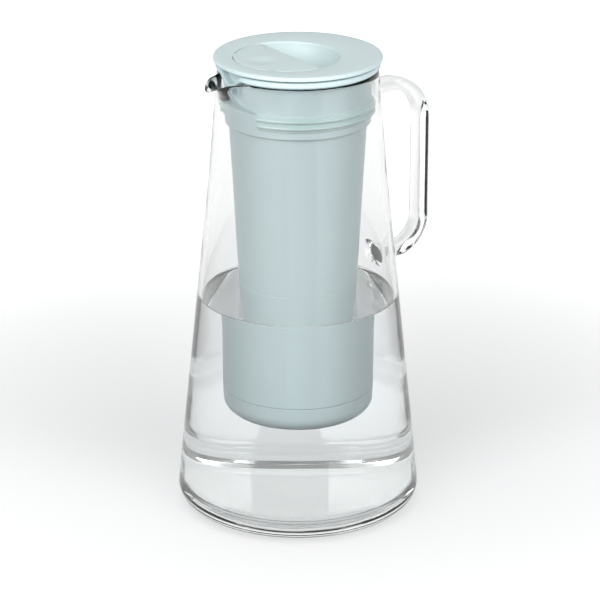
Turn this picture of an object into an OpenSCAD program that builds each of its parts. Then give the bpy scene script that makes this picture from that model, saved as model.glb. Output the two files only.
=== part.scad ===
/* [Glass jug] */
// Outer radius that the jug's lower cone would have at the table
foot_r = 71.5; // [66:0.5:76]
// Outer radius where the jug's cone turns into the neck
neck_r = 50.8; // [49.5:0.1:53]
// Height of that turn above the table
neck_z = 197; // [185:1:210]
// Outer radius of the glass rim
rim_r = 45.5; // [45.2:0.1:46.5]
// Height of the glass rim above the table
rim_z = 261.5; // [255:0.5:275]
// Thickness of the jug's wall below the neck
glass_wall = 2.7; // [2.2:0.1:3.4]
// Thickness of the glass at the rim
rim_wall = 2.2; // [1.8:0.1:2.4]
// Thickness of the jug's solid floor
floor_t = 9; // [6:0.5:14]
// Radius of the rounded heel between the floor and the wall
heel_r = 10; // [6:0.5:14]
// Radius of the inner corner between the floor and the wall
inner_heel_r = 8; // [4:0.5:10]

/* [Spout] */
// How far the spout's tip reaches from the jug's axis
spout_reach = 61; // [57:0.5:66]
// Height of the pulled spout, from its root to the rim
spout_h = 18; // [14:0.5:24]
// Radius of the spout's tip, seen from above
spout_tip_r = 7.5; // [6.5:0.5:9]
// Half the width of the spout where it leaves the rim
spout_root_w = 15; // [14:0.5:17]

/* [Glass handle] */
// Width of the glass strap, across the hand
strap_w = 13; // [10:0.5:16]
// Thickness of the glass strap
strap_t = 8; // [6:0.5:10]
// Radius that rounds the strap's four edges
strap_edge_r = 3; // [2:0.25:3.75]
// Distance from the jug's axis to the middle of the grip
grip_x = 85.5; // [80:0.5:95]
// Height of the strap's upper leg
handle_top_z = 241.5; // [232:0.5:246]
// Height of the strap's lower leg
handle_low_z = 139.5; // [125:0.5:150]
// Radius of the upper bend, at the middle of the strap
top_bend_r = 23; // [16:0.5:26]
// Radius of the lower bend, at the middle of the strap
low_bend_r = 20; // [14:0.5:24]
// How far the fused pads flare beyond the strap
pad_flare = 2.6; // [1.5:0.1:4]

/* [Reservoir] */
// Outer radius of the reservoir's collar
collar_r = 41.2; // [40.4:0.1:41.6]
// Wall of the collar
collar_wall = 1.8; // [1.4:0.1:2.2]
// Height of the collar, below the glass rim
collar_h = 30; // [27:0.5:34]
// Outer radius of the reservoir just under the collar
tub_top_r = 39.8; // [38.5:0.1:40.2]
// Outer radius of the reservoir at its floor
tub_low_r = 34.2; // [33.4:0.1:36]
// Height of the reservoir's underside above the table
tub_z = 136; // [130:1:142]
// Wall of the reservoir below the collar
tub_wall = 1.8; // [1.4:0.1:2.4]
// Thickness of the reservoir's floor
tub_floor_t = 2.5; // [2:0.1:4]
// Outer radius of the flange that hangs on the glass rim
flange_r = 46.3; // [45.8:0.1:47]
// Thickness of that flange
flange_t = 3.4; // [2.8:0.1:4]
// Depth of the pouring dip in the flange at the spout
dip_depth = 6; // [4:0.5:7]
// Half the width of that dip
dip_w = 10.5; // [9:0.5:11]

/* [Collar seal] */
// Angle of the gap in the seal at the spout
seal_gap = 50; // [40:1:60]
// Height of the silicone band
seal_h = 9; // [8:0.5:11]
// How far the seal's ribs stand out from the collar
rib_out = 1.8; // [1.4:0.1:1.8]
// Distance between the seal's two ribs
rib_pitch = 3.5; // [3:0.1:4]

/* [Lid] */
// Radius of the lid
lid_r = 47.5; // [46.5:0.1:50]
// Thickness of the lid's plate
lid_t = 2.6; // [2.2:0.1:3.2]
// Gap between the lid's plate and the reservoir's flange
lid_gap = 0.9; // [0.7:0.1:1.5]
// Radius of the round opening in the lid
hole_r = 30; // [27:0.5:30.5]
// How far the opening's centre lies from the axis, towards the spout
hole_shift = 7.8; // [6:0.2:8]
// Depth of the lid's plug in the reservoir
plug_h = 9; // [8:0.5:10]
// Depth of the finger scoop below the lid's top
scoop_depth = 12; // [9:0.5:14]
// Wall of the finger scoop
scoop_wall = 1.8; // [1.4:0.1:2.2]

/* [Flap] */
// Thickness of the flap
flap_t = 2.4; // [2:0.1:2.6]
// Gap around the flap
flap_gap = 0.5; // [0.4:0.05:0.8]
// How far the flap's straight edge lies past the opening's centre
flap_edge = 2.7; // [0:0.1:6]
// Distance from the opening's centre to the hinge pins
hinge_shift = 22.2; // [21:0.1:23]
// Depth of the hinge's axis below the lid's top
hinge_depth = 1.5; // [1.4:0.05:1.7]
// Radius of the hinge pins
pin_r = 0.9; // [0.8:0.05:1]
// Radius of the thumb dimple
dimple_r = 10; // [7:0.5:11]
// Depth of the thumb dimple
dimple_depth = 1; // [0.5:0.1:1.4]

/* [Filter housing] */
// Outer radius of the filter cup at its lower edge
cup_low_r = 32.4; // [32:0.1:33.4]
// Height of the seam between the filter cup and its cap
seam_z = 71; // [66:1:76]
// Wall of the filter cup
cup_wall = 1.6; // [1.3:0.1:2]
// Height of the cap's underside above the table
cap_z = 56; // [50:1:60]
// Radius of the cap's rounded lower edge
cap_edge_r = 9; // [6:0.5:11]
// Wall of the cap
cap_wall = 1.8; // [1.5:0.1:2.4]

/* [Membrane cartridge] */
// Outer radius of the membrane cartridge
memb_r = 22; // [18:0.5:24]
// Wall of the membrane cartridge
memb_wall = 1.6; // [1.2:0.1:2]
// Height of the cartridge's lower end above the table
memb_z = 92; // [90:1:100]
// Length of the cartridge above the reservoir's floor
memb_top_h = 12; // [10:0.5:20]

/* [Carbon cartridge] */
// Outer radius of the carbon cartridge
carb_r = 27; // [22:0.5:27.4]
// Height of the carbon cartridge
carb_h = 22; // [18:0.5:23]
// Wall of the carbon cartridge
carb_wall = 1.4; // [1.1:0.1:1.8]
// Radius of each flow hole
flow_r = 1.5; // [1:0.1:1.8]

/* [Clearances] */
// Space between pieces of different bodies that rest on each other
rest_gap = 0.3; // [0.2:0.05:0.4]
// Radial space around pins that turn
run_gap = 0.05; // [0.03:0.01:0.1]

/* [Hidden] */
$fn = 96;
eps = 0.01;

// Slopes of the jug's lower cone and of its neck, as radius lost per height
cone_k = (foot_r - neck_r) / neck_z;
neck_k = (neck_r - rim_r) / (rim_z - neck_z);
cone_a = atan(cone_k);
heel_c = foot_r - cone_k * heel_r - heel_r / cos(cone_a);
inner_foot_r = foot_r - glass_wall / cos(cone_a);
inner_heel_z = floor_t + inner_heel_r;
inner_heel_c = inner_foot_r - cone_k * inner_heel_z - inner_heel_r / cos(cone_a);

// Heights of the flange and the lid, stacked on the glass rim
flange_z = rim_z + rest_gap + 0.3;
flange_top = flange_z + flange_t;
lid_z = flange_top + lid_gap;
lid_top = lid_z + lid_t;

// The collar and the tub below it
collar_z = rim_z - collar_h;
tub_k = (tub_top_r - tub_low_r) / (collar_z - tub_z);
tub_in_top = tub_top_r - tub_wall;
tub_in_low = tub_low_r - tub_wall;
collar_in = collar_r - collar_wall;
tub_floor = tub_z + tub_floor_t;

// The pour pocket under the dip, as half widths and heights
pocket_top_w = 6;
pocket_low_w = 17;
pocket_z = collar_z + 12.9;
pocket_knee_z = pocket_z + 5.1;
pocket_depth = 4.5;
pocket_back = 1.6;
pocket_top_z = flange_z - dip_depth - 0.6;
pocket_roof = 1.2;

// The silicone band and its two ribs
seal_base = 0.8;
seal_z = collar_z + 4.5;
rib_z = seal_z + 3.2;
rib_h = 0.9;

// The lid's opening, its plug and the flap's hinge
hole_x = -hole_shift;
edge_x = hole_x + flap_edge;
scoop_reach = 3;
hinge_x = hole_x - hinge_shift;
hinge_z = lid_top - hinge_depth;
flap_r = hole_r - flap_gap;
plug_out = collar_in - 0.35;
plug_in = hole_r + hole_shift;
plug_z = lid_z - plug_h;
knuckle_r = 2;
knuckle_y = 9;
neck_w = sqrt(pow(hole_r, 2) - pow(hinge_shift + knuckle_r, 2)) - rest_gap;
neck_l = knuckle_r;
pin_y0 = 11;
pin_y1 = 23;
boss_r = 2.4;
dimple_x = hole_x - 16;
dimple_ball = (dimple_r * dimple_r + dimple_depth * dimple_depth) / (2 * dimple_depth);

// The filter cup hangs on a spigot under the reservoir
cup_k = (tub_low_r - cup_low_r) / (tub_z - seam_z);
spigot_h = 9;
spigot_out = tub_low_r - cup_wall - cup_k * spigot_h - 0.3;
spigot_wall = 1.9;
shelf_z = cap_z + 6 + carb_h + 2;
shelf_t = 2;
shelf_hole_r = 16;

// The cap's spigot inside the cup, and the ribs that carry the carbon cartridge
cup_in_low = cup_low_r - cup_wall;
cap_spigot_out = cup_in_low - 0.4;
cap_spigot_wall = 1.8;
cap_spigot_h = 8;
carb_z = cap_z + 6;
carb_in = carb_r - carb_wall;

// O-rings: radius of the cord, which leaves its groove by a little
cup_ring = 0.85;
cap_ring = 0.75;
memb_ring = 0.7;
lid_ring = 0.8;
ring_proud = 0.15;
groove_room = 0.05;

// The membrane cartridge in the reservoir's floor
memb_hole_r = memb_r + 0.5;
memb_top = tub_floor + memb_top_h;
memb_in = memb_r - memb_wall;
memb_flange_r = memb_r + 5.5;
memb_flange_t = 2.4;
potting_t = 4;
memb_cap_t = 2.2;
memb_hub_r = memb_r * 0.32;
slot_w = 2;
bail_r = memb_r * 0.55;
bail_w = 3;
bail_z = memb_top + memb_cap_t;

// Outer radius of the jug at a height above the heel
function jug_r(z) = z < neck_z ? foot_r - cone_k * z : neck_r - neck_k * (z - neck_z);
// Outer radius of the reservoir and of the filter cup at a height
function tub_r(z) = tub_low_r + tub_k * (z - tub_z);
function cup_r(z) = cup_low_r + cup_k * (z - seam_z);
// Points of an arc, from one angle to another
function arc(cx, cy, r, a0, a1, n = 12) =
    [for (i = [0:n]) let (a = a0 + (a1 - a0) * i / n) [cx + r * cos(a), cy + r * sin(a)]];

// A ring of round section about the axis
module oring(r, z, cord) {
    translate([0, 0, z]) rotate_extrude() translate([r, 0]) circle(r = cord, $fn = 32);
}

// A tube about the axis, between two heights
module tube(ro, ri, z0, z1) {
    translate([0, 0, z0]) difference() {
        cylinder(r = ro, h = z1 - z0);
        translate([0, 0, -1]) cylinder(r = ri, h = z1 - z0 + 2);
    }
}

// Flow holes through a disc: one in the middle and rings of six, twelve and so on
module flow_holes(z0, z1, rings, pitch) {
    translate([0, 0, z0 - 0.5]) {
        cylinder(r = flow_r, h = z1 - z0 + 1, $fn = 24);
        for (k = [1:rings], i = [0:6 * k - 1])
            rotate([0, 0, i * 60 / k]) translate([k * pitch, 0, 0])
                cylinder(r = flow_r, h = z1 - z0 + 1, $fn = 24);
    }
}

// The jug's outer form, turned
module jug_form() {
    rotate_extrude($fn = 128) polygon(concat(
        [[0, 0]],
        arc(heel_c, heel_r, heel_r, -90, cone_a),
        [[neck_r, neck_z], [rim_r, rim_z - rim_wall / 2]],
        arc(rim_r - rim_wall / 2, rim_z - rim_wall / 2, rim_wall / 2, 0, 90, 6),
        [[0, rim_z]]
    ));
}

// The space inside the jug, turned
module jug_space() {
    rotate_extrude($fn = 128) polygon(concat(
        [[0, floor_t]],
        arc(inner_heel_c, inner_heel_z, inner_heel_r, -90, cone_a),
        [[neck_r - glass_wall, neck_z], [rim_r - rim_wall, rim_z - rim_wall / 2]],
        arc(rim_r - rim_wall / 2, rim_z - rim_wall / 2, rim_wall / 2, 180, 90, 6),
        [[rim_r - rim_wall / 2, rim_z + 1], [0, rim_z + 1]]
    ));
}

// One stage of the pulled spout: a tip and two root rounds, at two heights
module spout_stage(z0, x0, r0, w0, z1, x1, r1, w1) {
    hull() {
        for (s = [[z0, x0, r0, w0], [z1, x1, r1, w1]]) translate([0, 0, s[0]]) {
            translate([-s[1] + s[2], 0, 0]) cylinder(r = s[2], h = 0.1, $fn = 32);
            for (y = [-1, 1])
                translate([-rim_r + 6, y * (s[3] - 6), 0]) cylinder(r = 6, h = 0.1, $fn = 32);
        }
    }
}

// The spout's solid form, drawn in by a wall for its inside
module spout_form(t, top) {
    mid_z = rim_z - spout_h * 0.52;
    mid_x = rim_r + (spout_reach - rim_r) * 0.38;
    spout_stage(rim_z - spout_h, rim_r - t, 6, 8 - t, mid_z, mid_x - t, 6.5 - t, 10.5 - t);
    spout_stage(mid_z, mid_x - t, 6.5 - t, 10.5 - t, top,
        spout_reach - t, spout_tip_r - t, spout_root_w - t);
}

module glass_jug() {
    color([0.86, 0.92, 0.92, 0.4]) difference() {
        union() {
            jug_form();
            spout_form(0, rim_z - 0.1);
        }
        jug_space();
        spout_form(rim_wall, rim_z + 0.5);
    }
}

// Cross-section of the glass strap, with four rounded edges
module strap_section() {
    e = strap_edge_r;
    square([strap_t - 2 * e, strap_w], center = true);
    square([strap_t, strap_w - 2 * e], center = true);
    for (x = [-1, 1], y = [-1, 1])
        translate([x * (strap_t / 2 - e), y * (strap_w / 2 - e)]) circle(r = e, $fn = 32);
}

// A quarter bend of the strap in the XZ plane, about a centre, from an angle
module strap_bend(cx, cz, r, from) {
    translate([cx, 0, cz]) rotate([90, 0, 0]) rotate([0, 0, from])
        rotate_extrude(angle = 90) translate([r, 0]) strap_section();
}

// A leg of the strap from the glass to a bend, with its flared pad
module strap_leg(z, x0, x1) {
    translate([x0, 0, z]) rotate([0, 90, 0]) linear_extrude(x1 - x0) strap_section();
    r0 = strap_w / 2 + pad_flare;
    translate([jug_r(z) - glass_wall, 0, z]) rotate([0, 90, 0])
        cylinder(r1 = r0, r2 = strap_t / 2, h = r0 - strap_t / 2 + glass_wall, $fn = 64);
}

module glass_handle() {
    bend_x1 = grip_x - top_bend_r;
    bend_x2 = grip_x - low_bend_r;
    color([0.86, 0.92, 0.92, 0.4]) difference() {
        union() {
            strap_leg(handle_top_z, jug_r(handle_top_z) - glass_wall, bend_x1);
            strap_bend(bend_x1, handle_top_z - top_bend_r, top_bend_r, 0);
            translate([grip_x, 0, handle_low_z + low_bend_r])
                linear_extrude(handle_top_z - top_bend_r - handle_low_z - low_bend_r)
                    strap_section();
            strap_bend(bend_x2, handle_low_z + low_bend_r, low_bend_r, -90);
            strap_leg(handle_low_z, jug_r(handle_low_z) - glass_wall, bend_x2);
        }
        jug_form();
    }
}

// The reservoir's body as turned: collar, tub and floor
module tub_form() {
    rotate_extrude() polygon([
        [0, tub_z], [tub_low_r, tub_z], [tub_top_r, collar_z], [collar_r - 0.6, collar_z],
        [collar_r, collar_z + 0.8], [collar_r, flange_z + 1], [collar_in, flange_z + 1],
        [0, flange_z + 1]
    ]);
}

module tub_space() {
    rotate_extrude() polygon([
        [0, tub_floor], [tub_in_low, tub_floor], [tub_in_top, collar_z + 1],
        [collar_in, collar_z + 4], [collar_in, flange_top + 1], [0, flange_top + 1]
    ]);
}

// The flange, with rounded outer edges
module flange_form() {
    e = 1.2;
    rotate_extrude() polygon(concat(
        [[collar_in, flange_z]],
        arc(flange_r - e, flange_z + e, e, -90, 0, 6),
        arc(flange_r - e, flange_top - e, e, 0, 90, 6),
        [[collar_in, flange_top]]
    ));
}

// The V-shaped gutter that the flange dips into at the spout
module dip_gutter() {
    translate([-flange_r + 0.4, 0, 0]) rotate([90, 0, 90])
        linear_extrude(flange_r - collar_in - 0.6) polygon([
            [-dip_w - 1, flange_top], [-dip_w, flange_top], [0, flange_top - dip_depth],
            [dip_w, flange_top], [dip_w + 1, flange_top], [dip_w + 1, flange_z],
            [dip_w, flange_z], [0, flange_z - dip_depth], [-dip_w, flange_z],
            [-dip_w - 1, flange_z]
        ]);
}

// The space above the gutter, cut out of the flange outside the collar
module dip_space() {
    difference() {
        translate([-flange_r - 1, 0, 0]) rotate([90, 0, 90])
            linear_extrude(flange_r) polygon([
                [-dip_w, flange_top + 0.001], [0, flange_top - dip_depth],
                [dip_w, flange_top + 0.001], [dip_w, flange_top + 1], [-dip_w, flange_top + 1]
            ]);
        cylinder(r = collar_r - 0.1, h = flange_top + 5);
    }
}

// The flange's underside beside the gutter, opened for the glass of the spout
module dip_relief() {
    difference() {
        translate([-flange_r - 1, 0, 0]) rotate([90, 0, 90])
            linear_extrude(flange_r) polygon([
                [-dip_w, flange_z], [0, flange_z - dip_depth], [dip_w, flange_z],
                [dip_w, flange_z - dip_depth - 1], [-dip_w, flange_z - dip_depth - 1]
            ]);
        cylinder(r = collar_r, h = flange_top + 5);
    }
}

// The pour pocket in the collar, seen from the spout, or the wall behind it when grown
module pocket(depth, grow, roof) {
    translate([-collar_r - 1, 0, 0]) rotate([90, 0, 90]) linear_extrude(depth + 1) polygon([
        [-pocket_top_w - grow, pocket_top_z + roof], [-pocket_top_w - grow, pocket_knee_z],
        [-pocket_low_w - grow, pocket_z - grow], [pocket_low_w + grow, pocket_z - grow],
        [pocket_top_w + grow, pocket_knee_z], [pocket_top_w + grow, pocket_top_z + roof]
    ]);
}

module reservoir() {
    color([0.75, 0.84, 0.85]) difference() {
        union() {
            difference() {
                union() {
                    tub_form();
                    flange_form();
                    dip_gutter();
                }
                tub_space();
                dip_space();
                dip_relief();
            }
            intersection() {
                pocket(pocket_depth + pocket_back, pocket_back, pocket_roof);
                cylinder(r = collar_r, h = rim_z);
            }
            tube(spigot_out, spigot_out - spigot_wall, tub_z - spigot_h, tub_z + eps);
        }
        pocket(pocket_depth, 0, 0);
        translate([0, 0, tub_z - 1]) cylinder(r = memb_hole_r, h = tub_floor_t + 2);
        tube(spigot_out + 1, spigot_out - 2 * cup_ring + ring_proud - groove_room,
            tub_z - spigot_h / 2 - cup_ring - groove_room,
            tub_z - spigot_h / 2 + cup_ring + groove_room);
    }
}

module collar_seal() {
    color([0.62, 0.74, 0.74]) rotate([0, 0, 180 + seal_gap / 2])
        rotate_extrude(angle = 360 - seal_gap) {
            translate([collar_r, seal_z]) square([seal_base, seal_h]);
            for (z = [rib_z, rib_z + rib_pitch]) polygon([
                [collar_r, z - rib_h], [collar_r + rib_out - 0.4, z - rib_h],
                [collar_r + rib_out, z - rib_h + 0.4], [collar_r + rib_out, z + rib_h - 0.4],
                [collar_r + rib_out - 0.4, z + rib_h], [collar_r, z + rib_h]
            ]);
        }
}

module filter_cup() {
    color([0.77, 0.86, 0.86]) rotate_extrude() polygon([
        [cup_low_r, seam_z], [tub_low_r, tub_z], [tub_low_r - cup_wall, tub_z],
        [cup_r(shelf_z + shelf_t) - cup_wall, shelf_z + shelf_t],
        [shelf_hole_r, shelf_z + shelf_t], [shelf_hole_r, shelf_z],
        [cup_r(shelf_z) - cup_wall, shelf_z], [cup_in_low, seam_z]
    ]);
}

module cup_seal() {
    color([0.35, 0.38, 0.38])
        oring(spigot_out - cup_ring + ring_proud, tub_z - spigot_h / 2, cup_ring);
}

// The scoop for a finger, turned about the opening's centre and cut under the flap
module scoop_shell() {
    c = hole_r - scoop_depth;
    translate([hole_x, 0, lid_top]) intersection() {
        rotate_extrude() polygon(concat(
            [[0, -scoop_depth - scoop_wall]],
            arc(c, 0, scoop_depth + scoop_wall, -90, -5),
            [[hole_r + scoop_wall, -1], [hole_r, -1]],
            arc(c, 0, scoop_depth, -5, -90),
            [[0, -scoop_depth]]
        ));
        translate([-scoop_reach, -2 * hole_r, -2 * scoop_depth])
            cube([2 * hole_r, 4 * hole_r, 3 * scoop_depth]);
    }
}

module lid_form() {
    e = 1.2;
    rotate_extrude() polygon(concat(
        [[0, lid_z]],
        arc(lid_r - 0.6, lid_z + 0.6, 0.6, -90, 0, 4),
        arc(lid_r - e, lid_top - e, e, 0, 90, 8),
        [[0, lid_top]]
    ));
}

module lid_plate() {
    color([0.78, 0.87, 0.88]) difference() {
        union() {
            difference() {
                union() {
                    lid_form();
                    tube(plug_out, plug_in - 0.6, plug_z, lid_z + eps);
                    tube(plug_out + 2.2, plug_in - 0.6, lid_z - lid_gap + rest_gap, lid_z + eps);
                    intersection() {
                        translate([hinge_x, -plug_in, hinge_z]) rotate([-90, 0, 0])
                            cylinder(r = boss_r, h = 2 * plug_in, $fn = 48);
                        cylinder(r = plug_out - 0.2, h = lid_top - 0.1);
                    }
                }
                translate([hole_x, 0, plug_z - 1]) cylinder(r = hole_r, h = plug_h + lid_t + 5);
                tube(plug_out + 1, plug_out - 2 * lid_ring + ring_proud - groove_room,
                    lid_ring_z() - lid_ring - groove_room, lid_ring_z() + lid_ring + groove_room);
            }
            scoop_shell();
        }
        translate([hinge_x, -pin_y1, hinge_z]) rotate([-90, 0, 0])
            cylinder(r = pin_r, h = 2 * pin_y1, $fn = 48);
    }
}

// Height of the lid's O-ring, midway down the plug
function lid_ring_z() = lid_z - plug_h / 2;

module lid_seal() {
    color([0.6, 0.72, 0.72]) oring(plug_out - lid_ring + ring_proud, lid_ring_z(), lid_ring);
}

module hinge_pins() {
    color([0.8, 0.8, 0.8]) for (y = [-pin_y1, pin_y0])
        translate([hinge_x, y, hinge_z]) rotate([-90, 0, 0])
            cylinder(r = pin_r, h = pin_y1 - pin_y0, $fn = 48);
}

// The round about the hinge that the flap's tail keeps within, so that it clears the opening
module tail_spindle() {
    translate([hinge_x, 0, hinge_z]) rotate([-90, 0, 0]) rotate_extrude($fn = 96)
        intersection() {
            translate([-hinge_shift, 0]) circle(r = hole_r - rest_gap, $fn = 192);
            translate([0, -neck_w]) square([hole_r, 2 * neck_w]);
        }
}

module flap() {
    color([0.80, 0.89, 0.90]) difference() {
        union() {
            intersection() {
                translate([hole_x, 0, lid_top - flap_t]) cylinder(r = flap_r, h = flap_t);
                union() {
                    translate([hinge_x + neck_l, -hole_r, lid_top - flap_t - 1])
                        cube([edge_x - hinge_x - neck_l, 2 * hole_r, flap_t + 2]);
                    translate([hinge_x, -neck_w, lid_top - flap_t - 1])
                        cube([neck_l + eps, 2 * neck_w, flap_t + 2]);
                    tail_spindle();
                }
            }
            for (y = [-neck_w, knuckle_y]) translate([hinge_x, y, hinge_z])
                rotate([-90, 0, 0]) linear_extrude(neck_w - knuckle_y) intersection() {
                    circle(r = knuckle_r, $fn = 48);
                    translate([-knuckle_r, -hinge_depth])
                        square([2 * knuckle_r, knuckle_r + hinge_depth]);
                }
        }
        translate([dimple_x, 0, lid_top - dimple_depth + dimple_ball])
            sphere(r = dimple_ball, $fn = 128);
        for (y = [-hole_r, pin_y0 - rest_gap]) translate([hinge_x, y, hinge_z])
            rotate([-90, 0, 0])
                cylinder(r = pin_r + run_gap, h = hole_r - pin_y0 + rest_gap, $fn = 48);
    }
}

module membrane_shell() {
    color([0.93, 0.94, 0.94]) difference() {
        union() {
            tube(memb_r, memb_in, memb_z, memb_top);
            tube(memb_flange_r, memb_in, tub_floor + rest_gap,
                tub_floor + rest_gap + memb_flange_t);
        }
        tube(memb_r + 1, memb_r - 2 * memb_ring + ring_proud - groove_room,
            memb_ring_z() - memb_ring - groove_room, memb_ring_z() + memb_ring + groove_room);
    }
}

// Height of the membrane's O-ring, inside the reservoir's floor
function memb_ring_z() = tub_z + tub_floor_t / 2;

module membrane_oring() {
    color([0.2, 0.22, 0.22]) oring(memb_r - memb_ring + ring_proud, memb_ring_z(), memb_ring);
}

// The inlet cap: a slotted disc with a bail to pull the cartridge out
module membrane_cap() {
    slots = 10;
    color([0.75, 0.84, 0.85]) {
        difference() {
            translate([0, 0, memb_top]) cylinder(r = memb_r, h = memb_cap_t);
            for (i = [0:slots - 1]) rotate([0, 0, (i + 0.5) * 360 / slots])
                translate([memb_hub_r, -slot_w / 2, memb_top - 1])
                    cube([memb_in - 2 - memb_hub_r, slot_w, memb_cap_t + 2]);
        }
        difference() {
            translate([0, bail_w / 2, bail_z]) rotate([90, 0, 0])
                cylinder(r = bail_r, h = bail_w);
            translate([0, bail_w, bail_z]) rotate([90, 0, 0])
                cylinder(r = bail_r - bail_w, h = 2 * bail_w);
            translate([-bail_r - 1, -bail_w, bail_z - bail_r - 1])
                cube([2 * bail_r + 2, 2 * bail_w, bail_r + 1]);
        }
    }
}

// The bundle of hollow fibres, looped over at the top
module membrane_fibres() {
    r = memb_in - 0.8;
    top = memb_top - 3;
    color([0.96, 0.96, 0.93]) rotate_extrude() polygon(concat(
        [[0, memb_z + potting_t], [r, memb_z + potting_t]],
        arc(r - 6, top - 6, 6, 0, 90, 8),
        [[0, top]]
    ));
}

module membrane_potting() {
    color([0.9, 0.88, 0.8]) translate([0, 0, memb_z]) cylinder(r = memb_in, h = potting_t);
}

module base_cap() {
    e = cap_edge_r;
    floor_in = cap_z + cap_wall + 0.4;
    color([0.77, 0.86, 0.86]) difference() {
        union() {
            rotate_extrude() polygon(concat(
                [[0, cap_z]],
                arc(cup_low_r - 0.3 - e, cap_z + e, e, -90, 0),
                [[cup_low_r, seam_z - 0.3], [cap_spigot_out, seam_z - 0.3],
                [cap_spigot_out, seam_z + cap_spigot_h],
                [cap_spigot_out - cap_spigot_wall, seam_z + cap_spigot_h],
                [cap_spigot_out - cap_spigot_wall, seam_z - 2],
                [cup_low_r - 0.3 - cap_wall, cap_z + e]],
                arc(cup_low_r - 0.3 - e, cap_z + e, e - cap_wall, 0, -75),
                [[cup_low_r - e - 3, floor_in], [0, floor_in]]
            ));
            for (i = [0:5]) rotate([0, 0, i * 60 + 15]) translate([14, -1, cap_z + 1])
                cube([8, 2, carb_z - cap_z - 1]);
        }
        flow_holes(cap_z, floor_in, 3, 4.6);
        tube(cap_spigot_out + 1, cap_spigot_out - 2 * cap_ring + ring_proud - groove_room,
            cap_ring_z() - cap_ring - groove_room, cap_ring_z() + cap_ring + groove_room);
    }
}

// Height of the cap's O-ring, midway up its spigot
function cap_ring_z() = seam_z + cap_spigot_h / 2;

module cap_seal() {
    color([0.35, 0.38, 0.38])
        oring(cap_spigot_out - cap_ring + ring_proud, cap_ring_z(), cap_ring);
}

// The carbon cartridge: a perforated pot, its filling between two pads, and a lid
carb_floor = carb_z + carb_wall;
carb_lid_t = 2;
pad_t = 1.5;
carb_lid_z = carb_z + carb_h - carb_lid_t;

module carbon_shell() {
    color([0.93, 0.94, 0.94]) difference() {
        translate([0, 0, carb_z]) cylinder(r = carb_r, h = carb_h);
        translate([0, 0, carb_floor]) cylinder(r = carb_in, h = carb_h);
        flow_holes(carb_z, carb_floor, 4, 5);
    }
}

module carbon_bottom_pad() {
    color([0.92, 0.92, 0.9]) translate([0, 0, carb_floor]) cylinder(r = carb_in, h = pad_t);
}

module carbon_media() {
    color([0.15, 0.15, 0.16]) translate([0, 0, carb_floor + pad_t])
        cylinder(r = carb_in, h = carb_lid_z - carb_floor - 2 * pad_t);
}

module carbon_top_pad() {
    color([0.92, 0.92, 0.9]) translate([0, 0, carb_lid_z - pad_t])
        cylinder(r = carb_in, h = pad_t);
}

module carbon_lid() {
    color([0.75, 0.84, 0.85]) difference() {
        translate([0, 0, carb_lid_z]) cylinder(r = carb_in, h = carb_lid_t);
        flow_holes(carb_lid_z, carb_lid_z + carb_lid_t, 3, 5);
    }
}

module carbon_seal() {
    color([0.35, 0.38, 0.38])
        tube(carb_r, shelf_hole_r + 3, carb_z + carb_h, shelf_z - rest_gap);
}

glass_jug();
glass_handle();
reservoir();
collar_seal();
filter_cup();
cup_seal();
lid_plate();
lid_seal();
hinge_pins();
flap();
membrane_shell();
membrane_cap();
membrane_fibres();
membrane_potting();
membrane_oring();
base_cap();
cap_seal();
carbon_shell();
carbon_lid();
carbon_media();
carbon_top_pad();
carbon_bottom_pad();
carbon_seal();
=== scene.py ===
import math
import bmesh
import bpy
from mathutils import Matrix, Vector


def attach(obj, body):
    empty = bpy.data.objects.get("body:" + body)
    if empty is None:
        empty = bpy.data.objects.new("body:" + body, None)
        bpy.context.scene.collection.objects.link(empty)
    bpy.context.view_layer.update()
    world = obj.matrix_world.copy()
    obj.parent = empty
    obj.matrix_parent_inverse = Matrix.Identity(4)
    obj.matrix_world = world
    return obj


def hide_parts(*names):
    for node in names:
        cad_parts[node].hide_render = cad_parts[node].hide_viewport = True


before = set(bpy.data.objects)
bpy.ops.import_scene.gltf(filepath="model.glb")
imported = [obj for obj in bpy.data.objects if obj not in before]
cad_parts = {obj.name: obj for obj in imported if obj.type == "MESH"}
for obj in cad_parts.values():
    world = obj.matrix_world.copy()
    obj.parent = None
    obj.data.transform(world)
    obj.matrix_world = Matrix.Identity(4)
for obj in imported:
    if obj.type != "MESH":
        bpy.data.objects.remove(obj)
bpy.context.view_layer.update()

bpy.ops.object.select_all(action="DESELECT")
MM = 0.001

# Camera: a long lens a little above the lid, looking down past the spout at front left.
# The frame is taken to be 600 by 600 pixels.
VIEW_TURN = math.radians(-34)
VIEW_PITCH = math.radians(21.25)
VIEW_DISTANCE = 1.469
VIEW_HEIGHT = 0.693
VIEW_ASIDE = 0.00115
FOCAL_PIXELS = 2730
FRAME_PIXELS = 600
camera_data = bpy.data.cameras.new("view")
camera_data.sensor_width = 36
camera_data.lens = FOCAL_PIXELS * camera_data.sensor_width / FRAME_PIXELS
camera = bpy.data.objects.new("view", camera_data)
bpy.context.collection.objects.link(camera)
camera.location = (
    math.sin(VIEW_TURN) * VIEW_DISTANCE + math.cos(VIEW_TURN) * VIEW_ASIDE,
    -math.cos(VIEW_TURN) * VIEW_DISTANCE + math.sin(VIEW_TURN) * VIEW_ASIDE,
    VIEW_HEIGHT,
)
camera.rotation_euler = (math.radians(90) - VIEW_PITCH, 0, VIEW_TURN)
scene = bpy.context.scene
scene.camera = camera
scene.view_settings.view_transform = "Standard"

# Light paths: enough bends for two glass walls with water between them, and few of the rest.
scene.cycles.max_bounces = 12
scene.cycles.transmission_bounces = 12
scene.cycles.glossy_bounces = 4
scene.cycles.diffuse_bounces = 3
scene.cycles.transparent_max_bounces = 8
scene.cycles.caustics_reflective = False
scene.cycles.caustics_refractive = False

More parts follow.
